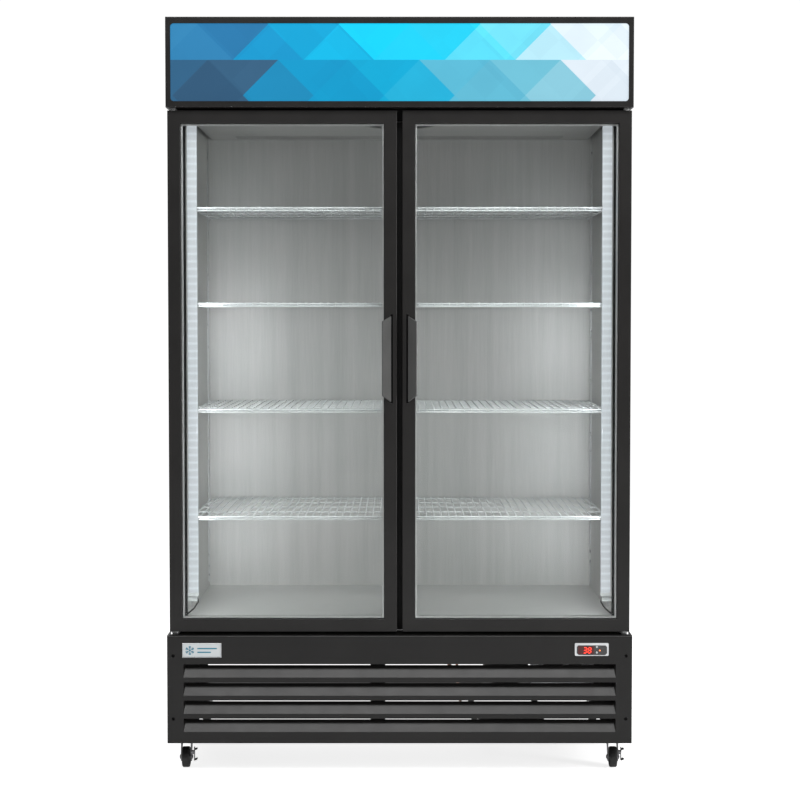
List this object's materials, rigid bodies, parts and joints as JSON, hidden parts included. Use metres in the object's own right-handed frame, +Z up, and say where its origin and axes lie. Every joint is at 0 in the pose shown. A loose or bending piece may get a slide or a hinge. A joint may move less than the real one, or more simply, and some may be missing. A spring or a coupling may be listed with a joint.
{
  "type": "glass door merchandiser",
  "caption": "Upright refrigerated display cabinet with hinged glass doors, lit header sign, wire shelves, louvred lower panel and swivel casters.",
  "frame": {"origin": "on the floor, under the centre of the bounding box", "axes": "+Z up, doors face -Y, +X to the viewer's right"},
  "size_m": [1.24, 0.735, 2.01],
  "materials": {
    "black_coat": "satin",
    "black_frame": "satin",
    "outer_sheet": "satin",
    "liner_metal": "satin",
    "foam": "matte",
    "galvanised": "satin",
    "sign_acrylic": "gloss",
    "led_diffuser": "satin",
    "black_plastic": "satin",
    "red_plastic": "gloss",
    "badge": "satin",
    "control_plastic": "satin",
    "button_plastic": "satin",
    "zinc": "satin",
    "shelf_wire": "satin",
    "compressor_coat": "gloss",
    "coil_fins": "satin",
    "copper": "satin",
    "pan_plastic": "matte",
    "fan_plastic": "satin",
    "glass": "gloss",
    "gasket_rubber": "matte",
    "wheel_rubber": "satin",
    "handle_metal": "satin",
    "cover_sheet": "satin"
  },
  "bodies": {
    "cabinet": {"left_side_panel": "outer_sheet", "right_side_panel": "outer_sheet", "top_panel": "outer_sheet", "back_panel": "galvanised", "inner_liner": "liner_metal", "foam_insulation": "foam", "front_frame": "black_coat", "centre_mullion": "black_frame", "base_frame": "black_coat", "header_housing": "black_coat", "sign_panel": "sign_acrylic", "led_light_bars": "led_diffuser", "rocker_switch_frames": "black_plastic", "louvre_panel": "black_coat", "panel_screws": "black_coat", "name_plate": "badge", "temperature_controller": "control_plastic", "hinge_brackets": "zinc", "shelf_pilasters": "zinc", "shelf_clips": "zinc", "compressor": "compressor_coat", "condenser_coil": "coil_fins", "condenser_fan_shroud": "galvanised", "evaporator_coil": "coil_fins", "evaporator_cover": "cover_sheet", "condensate_pan": "pan_plastic", "refrigerant_pipes": "copper", "caster_plates": "zinc", "left_shelf_1": "shelf_wire", "left_shelf_2": "shelf_wire", "left_shelf_3": "shelf_wire", "left_shelf_4": "shelf_wire", "right_shelf_1": "shelf_wire", "right_shelf_2": "shelf_wire", "right_shelf_3": "shelf_wire", "right_shelf_4": "shelf_wire"},
    "left_door": {"left_door_frame": "black_frame", "left_door_glass_unit": "glass", "left_door_gasket": "gasket_rubber", "left_door_handle": "handle_metal"},
    "right_door": {"right_door_frame": "black_frame", "right_door_glass_unit": "glass", "right_door_gasket": "gasket_rubber", "right_door_handle": "handle_metal"},
    "light_rocker": {"light_rocker": "red_plastic"},
    "power_rocker": {"power_rocker": "red_plastic"},
    "set_button": {"set_button": "button_plastic"},
    "defrost_button": {"defrost_button": "button_plastic"},
    "condenser_fan": {"condenser_fan": "fan_plastic"},
    "evaporator_fan": {"evaporator_fan": "fan_plastic"},
    "front_left_fork": {"front_left_caster_fork": "zinc"},
    "front_left_wheel": {"front_left_caster_wheel": "wheel_rubber"},
    "front_left_brake": {"front_left_caster_brake": "zinc"},
    "front_right_fork": {"front_right_caster_fork": "zinc"},
    "front_right_wheel": {"front_right_caster_wheel": "wheel_rubber"},
    "front_right_brake": {"front_right_caster_brake": "zinc"},
    "rear_left_fork": {"rear_left_caster_fork": "zinc"},
    "rear_left_wheel": {"rear_left_caster_wheel": "wheel_rubber"},
    "rear_right_fork": {"rear_right_caster_fork": "zinc"},
    "rear_right_wheel": {"rear_right_caster_wheel": "wheel_rubber"}
  },
  "joints": [
    {"name": "left_door_hinge", "type": "hinge", "parent": "cabinet", "child": "left_door", "pos_m": [-0.601, -0.3175, 1.0735], "axis": [0, 0, 1], "range_deg": [-110, 0]},
    {"name": "right_door_hinge", "type": "hinge", "parent": "cabinet", "child": "right_door", "pos_m": [0.601, -0.3175, 1.0735], "axis": [0, 0, 1], "range_deg": [0, 110]},
    {"name": "light_rocker_tilt", "type": "hinge", "parent": "cabinet", "child": "light_rocker", "pos_m": [0.612, -0.3215, 1.93], "axis": [0, 1, 0], "range_deg": [0, 20]},
    {"name": "power_rocker_tilt", "type": "hinge", "parent": "cabinet", "child": "power_rocker", "pos_m": [0.612, -0.3215, 1.876], "axis": [0, 1, 0], "range_deg": [0, 20]},
    {"name": "condenser_fan_spin", "type": "hinge", "parent": "cabinet", "child": "condenser_fan", "pos_m": [0.485, 0.2495, 0.231], "axis": [0, 1, 0], "continuous": true},
    {"name": "evaporator_fan_spin", "type": "hinge", "parent": "cabinet", "child": "evaporator_fan", "pos_m": [0, -0.1095, 1.78], "axis": [0, 0, 1], "continuous": true},
    {"name": "set_button_press", "type": "slide", "parent": "cabinet", "child": "set_button", "axis": [0, 1, 0], "range_m": [0, 0.0012], "stiffness_N_per_m": 600, "springref_m": -0.0005},
    {"name": "defrost_button_press", "type": "slide", "parent": "cabinet", "child": "defrost_button", "axis": [0, 1, 0], "range_m": [0, 0.0012], "stiffness_N_per_m": 600, "springref_m": -0.0005},
    {"name": "front_left_caster_swivel", "type": "hinge", "parent": "cabinet", "child": "front_left_fork", "pos_m": [-0.579, -0.2545, 0.072], "axis": [0, 0, 1], "continuous": true},
    {"name": "front_left_wheel_roll", "type": "hinge", "parent": "front_left_fork", "child": "front_left_wheel", "pos_m": [-0.579, -0.2745, 0.028], "axis": [1, 0, 0], "continuous": true},
    {"name": "front_left_brake_lever", "type": "hinge", "parent": "front_left_fork", "child": "front_left_brake", "pos_m": [-0.56, -0.2745, 0.04], "axis": [0, 1, 0], "range_deg": [-8, 0]},
    {"name": "front_right_caster_swivel", "type": "hinge", "parent": "cabinet", "child": "front_right_fork", "pos_m": [0.579, -0.2545, 0.072], "axis": [0, 0, 1], "continuous": true},
    {"name": "front_right_wheel_roll", "type": "hinge", "parent": "front_right_fork", "child": "front_right_wheel", "pos_m": [0.579, -0.2745, 0.028], "axis": [1, 0, 0], "continuous": true},
    {"name": "front_right_brake_lever", "type": "hinge", "parent": "front_right_fork", "child": "front_right_brake", "pos_m": [0.598, -0.2745, 0.04], "axis": [0, 1, 0], "range_deg": [-8, 0]},
    {"name": "rear_left_caster_swivel", "type": "hinge", "parent": "cabinet", "child": "rear_left_fork", "pos_m": [-0.579, 0.2955, 0.072], "axis": [0, 0, 1], "continuous": true},
    {"name": "rear_left_wheel_roll", "type": "hinge", "parent": "rear_left_fork", "child": "rear_left_wheel", "pos_m": [-0.579, 0.2755, 0.028], "axis": [1, 0, 0], "continuous": true},
    {"name": "rear_right_caster_swivel", "type": "hinge", "parent": "cabinet", "child": "rear_right_fork", "pos_m": [0.579, 0.2955, 0.072], "axis": [0, 0, 1], "continuous": true},
    {"name": "rear_right_wheel_roll", "type": "hinge", "parent": "rear_right_fork", "child": "rear_right_wheel", "pos_m": [0.579, 0.2755, 0.028], "axis": [1, 0, 0], "continuous": true}
  ]
}
